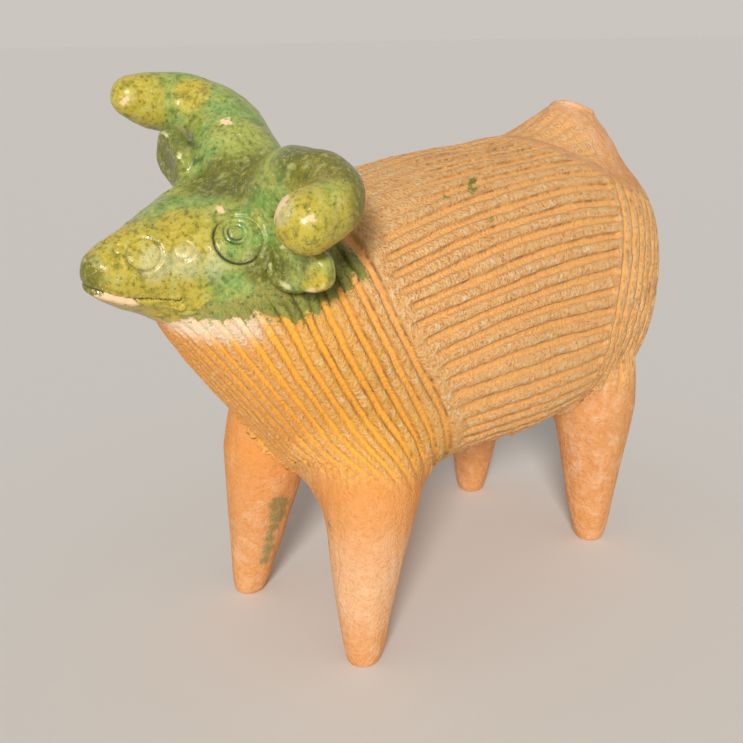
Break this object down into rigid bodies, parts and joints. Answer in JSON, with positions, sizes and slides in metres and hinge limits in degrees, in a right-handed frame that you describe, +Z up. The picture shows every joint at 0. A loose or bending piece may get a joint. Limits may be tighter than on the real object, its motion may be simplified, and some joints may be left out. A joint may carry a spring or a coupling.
{
  "type": "animal planter",
  "caption": "Hollow terracotta horned-animal planter on cone legs, with a combed body for sprouting seeds, a green-glazed head and a filler spout on the rump.",
  "frame": {"origin": "on the floor under the middle of the planter's box, between its four feet", "axes": "+Z up, the nose points to -Y, and the animal's left side is +X"},
  "size_m": [0.0872, 0.1958, 0.1496],
  "materials": {
    "terracotta": "unglazed, combed and matt",
    "green_glaze": "mottled olive to green glaze, glossy and worn"
  },
  "bodies": {
    "root": {"body_shell": "terracotta", "filler_spout": "terracotta", "front_left_leg": "terracotta", "front_right_leg": "terracotta", "rear_left_leg": "terracotta", "rear_right_leg": "terracotta", "head": "green_glaze", "left_horn": "green_glaze", "right_horn": "green_glaze", "left_ear": "green_glaze", "right_ear": "green_glaze"}
  },
  "joints": []
}
